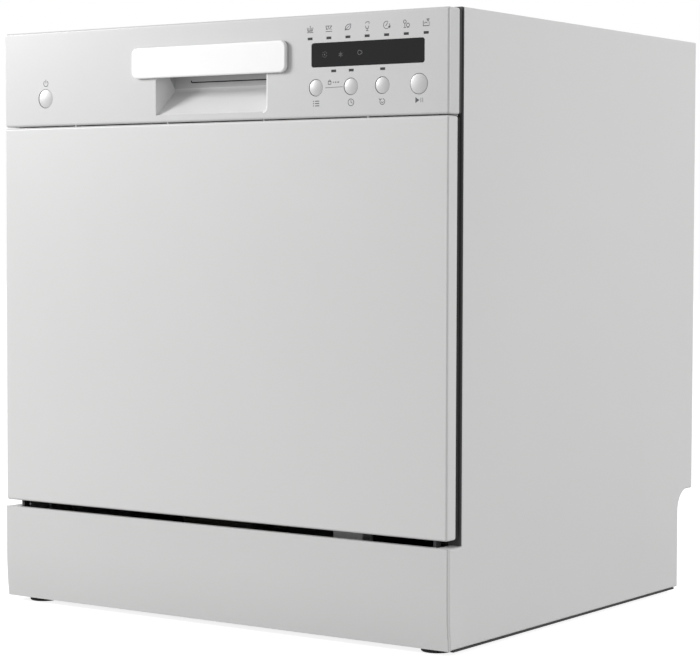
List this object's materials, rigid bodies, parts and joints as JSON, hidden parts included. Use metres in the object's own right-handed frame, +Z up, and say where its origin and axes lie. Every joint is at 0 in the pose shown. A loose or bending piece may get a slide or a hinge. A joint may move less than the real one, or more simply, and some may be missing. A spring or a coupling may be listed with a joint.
{
  "type": "countertop dishwasher",
  "caption": "White countertop dishwasher with a drop-down door, push-button fascia, grip plate, pull-out racks and spray arms.",
  "frame": {"origin": "on the floor under the centre of the outer size", "axes": "+Z up, the door faces -Y, +X to the viewer's right"},
  "size_m": [0.55, 0.506, 0.595],
  "materials": {
    "white_paint": "gloss",
    "white_plastic": "gloss",
    "silver_plastic": "satin",
    "dark_window": "gloss",
    "lens": "satin",
    "stainless": "satin",
    "galvanised": "matte",
    "grey_plastic": "matte",
    "light_grey_plastic": "matte",
    "black_plastic": "matte",
    "rubber": "matte",
    "gasket": "matte",
    "coated_wire": "satin",
    "board": "matte",
    "pump_plastic": "matte",
    "brass": "satin"
  },
  "bodies": {
    "cabinet": {"side_panel_left": "white_paint", "side_panel_right": "white_paint", "top_panel": "white_paint", "back_panel": "galvanised", "connection_plate": "galvanised", "plinth": "white_paint", "base_tray": "black_plastic", "feet": "rubber", "panel_screws": "stainless", "strike_plate": "stainless", "hinge_brackets": "galvanised", "door_springs": "galvanised", "tub_wrapper": "stainless", "tub_back": "stainless", "tub_floor": "light_grey_plastic", "door_seal": "gasket", "sill_bracket": "galvanised", "sump": "grey_plastic", "filter_plate": "stainless", "softener": "pump_plastic", "wash_pump": "pump_plastic", "drain_pump": "pump_plastic", "inlet_valve": "pump_plastic", "drain_outlet": "black_plastic", "cord_gland": "black_plastic", "feed_pipe": "light_grey_plastic", "rail_guides": "light_grey_plastic"},
    "door": {"door_panel": "white_paint", "control_panel": "white_plastic", "display_window": "dark_window", "indicator_lenses": "lens", "control_board": "board", "control_cover": "grey_plastic", "handle_pin": "stainless", "latch_housing": "black_plastic", "hinge_arms": "galvanised", "door_liner": "stainless", "dispenser_body": "light_grey_plastic"},
    "grip": {"door_handle": "white_plastic"},
    "hook": {"latch_hook": "stainless"},
    "power": {"power_button": "white_plastic"},
    "program": {"program_button": "white_plastic"},
    "delay": {"delay_button": "white_plastic"},
    "half_load": {"half_load_button": "white_plastic"},
    "start": {"start_button": "silver_plastic"},
    "lid": {"detergent_lid": "grey_plastic"},
    "rinse": {"rinse_cap": "grey_plastic"},
    "lower_basket": {"lower_rack": "coated_wire", "cutlery_basket": "grey_plastic"},
    "wheel_fl": {"wheel_front_left": "grey_plastic"},
    "wheel_fr": {"wheel_front_right": "grey_plastic"},
    "wheel_bl": {"wheel_back_left": "grey_plastic"},
    "wheel_br": {"wheel_back_right": "grey_plastic"},
    "upper_basket": {"upper_rack": "coated_wire", "rack_rails": "stainless", "upper_duct": "light_grey_plastic"},
    "upper_spray": {"upper_spray_arm": "light_grey_plastic"},
    "lower_spray": {"lower_spray_arm": "light_grey_plastic"},
    "filter": {"filter_cup": "grey_plastic"},
    "salt": {"salt_cap": "light_grey_plastic"}
  },
  "joints": [
    {"name": "door_hinge", "type": "hinge", "parent": "cabinet", "child": "door", "pos_m": [0, -0.23555, 0.115], "axis": [1, 0, 0], "range_deg": [0, 90], "deforming": ["door_springs"]},
    {"name": "handle_pivot", "type": "hinge", "parent": "door", "child": "grip", "pos_m": [0, -0.24495, 0.5666], "axis": [-1, 0, 0], "range_deg": [0, 9], "stiffness_Nm_per_rad": 1.5, "springref_deg": -5.73},
    {"name": "hook_pivot", "type": "hinge", "parent": "door", "child": "hook", "pos_m": [0, -0.20955, 0.577], "axis": [-1, 0, 0], "range_deg": [0, 8]},
    {"name": "power_press", "type": "slide", "parent": "door", "child": "power", "axis": [0, 1, 0], "range_m": [0, 0.0015], "stiffness_N_per_m": 400, "springref_m": -0.002},
    {"name": "program_press", "type": "slide", "parent": "door", "child": "program", "axis": [0, 1, 0], "range_m": [0, 0.0015], "stiffness_N_per_m": 400, "springref_m": -0.002},
    {"name": "delay_press", "type": "slide", "parent": "door", "child": "delay", "axis": [0, 1, 0], "range_m": [0, 0.0015], "stiffness_N_per_m": 400, "springref_m": -0.002},
    {"name": "half_load_press", "type": "slide", "parent": "door", "child": "half_load", "axis": [0, 1, 0], "range_m": [0, 0.0015], "stiffness_N_per_m": 400, "springref_m": -0.002},
    {"name": "start_press", "type": "slide", "parent": "door", "child": "start", "axis": [0, 1, 0], "range_m": [0, 0.0015], "stiffness_N_per_m": 400, "springref_m": -0.002},
    {"name": "lid_slide", "type": "slide", "parent": "door", "child": "lid", "axis": [-1, 0, 0], "range_m": [0, 0.046]},
    {"name": "rinse_turn", "type": "hinge", "parent": "door", "child": "rinse", "pos_m": [0.083, -0.20055, 0.33], "axis": [0, -1, 0], "range_deg": [0, 90]},
    {"name": "lower_rack_slide", "type": "slide", "parent": "cabinet", "child": "lower_basket", "axis": [0, -1, 0], "range_m": [0, 0.15]},
    {"name": "upper_rack_slide", "type": "slide", "parent": "cabinet", "child": "upper_basket", "axis": [0, -1, 0], "range_m": [0, 0.3]},
    {"name": "wheel_fl_spin", "type": "hinge", "parent": "lower_basket", "child": "wheel_fl", "pos_m": [-0.231, -0.04355, 0.1611], "axis": [1, 0, 0], "range_deg": [0, 575]},
    {"name": "wheel_fr_spin", "type": "hinge", "parent": "lower_basket", "child": "wheel_fr", "pos_m": [0.231, -0.04355, 0.1611], "axis": [1, 0, 0], "range_deg": [0, 575]},
    {"name": "wheel_bl_spin", "type": "hinge", "parent": "lower_basket", "child": "wheel_bl", "pos_m": [-0.231, 0.15445, 0.1611], "axis": [1, 0, 0], "range_deg": [0, 575]},
    {"name": "wheel_br_spin", "type": "hinge", "parent": "lower_basket", "child": "wheel_br", "pos_m": [0.231, 0.15445, 0.1611], "axis": [1, 0, 0], "range_deg": [0, 575]},
    {"name": "lower_spray_spin", "type": "hinge", "parent": "cabinet", "child": "lower_spray", "pos_m": [0, 0.00145, 0.159], "axis": [0, 0, 1], "continuous": true},
    {"name": "upper_spray_spin", "type": "hinge", "parent": "upper_basket", "child": "upper_spray", "pos_m": [0, 0.00145, 0.322], "axis": [0, 0, 1], "continuous": true},
    {"name": "filter_twist", "type": "hinge", "parent": "cabinet", "child": "filter", "pos_m": [0.048, 0.00145, 0.13], "axis": [0, 0, 1], "range_deg": [0, 45]},
    {"name": "salt_twist", "type": "hinge", "parent": "cabinet", "child": "salt", "pos_m": [-0.15, 0.09645, 0.13], "axis": [0, 0, 1], "range_deg": [0, 90]}
  ],
  "couplings": [
    {"joint": "hook_pivot", "follows": "handle_pivot", "ratio": 0.8888},
    {"joint": "lower_rack_slide", "follows": "door_hinge", "m_per_rad": 0.0954},
    {"joint": "upper_rack_slide", "follows": "door_hinge", "m_per_rad": 0.1909},
    {"joint": "wheel_fl_spin", "follows": "door_hinge", "ratio": 6.36},
    {"joint": "wheel_fr_spin", "follows": "door_hinge", "ratio": 6.36},
    {"joint": "wheel_bl_spin", "follows": "door_hinge", "ratio": 6.36},
    {"joint": "wheel_br_spin", "follows": "door_hinge", "ratio": 6.36}
  ]
}
